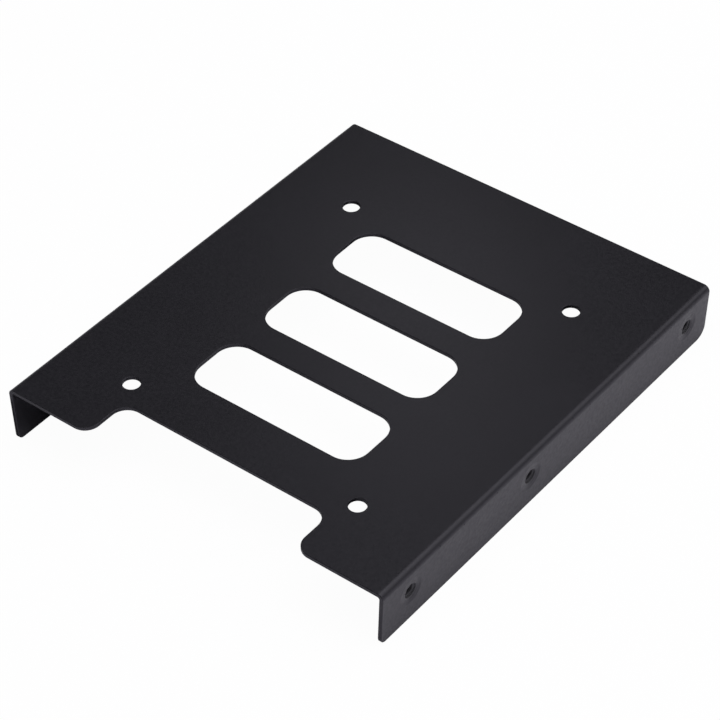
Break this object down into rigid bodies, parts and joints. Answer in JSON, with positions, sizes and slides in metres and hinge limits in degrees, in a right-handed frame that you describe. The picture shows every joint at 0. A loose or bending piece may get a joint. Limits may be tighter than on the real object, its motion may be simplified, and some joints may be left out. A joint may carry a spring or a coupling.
{
  "type": "drive bay adapter bracket",
  "caption": "Folded sheet-steel bracket that carries a 2.5-inch drive in a 3.5-inch bay: flat slotted plate, notched front edge and two flanges with threaded collars.",
  "frame": {"origin": "middle of the outline, on the surface that the flange edges stand on", "axes": "+X across the bracket, +Y along it from the notched connector edge to the plain edge, +Z from the flange edges up to the plate"},
  "size_m": [0.1016, 0.1196, 0.0144],
  "materials": {
    "black_powder_coat": "semi-matte black powder coat with a very fine texture"
  },
  "bodies": {
    "root": {"bracket": "black_powder_coat"}
  },
  "joints": []
}
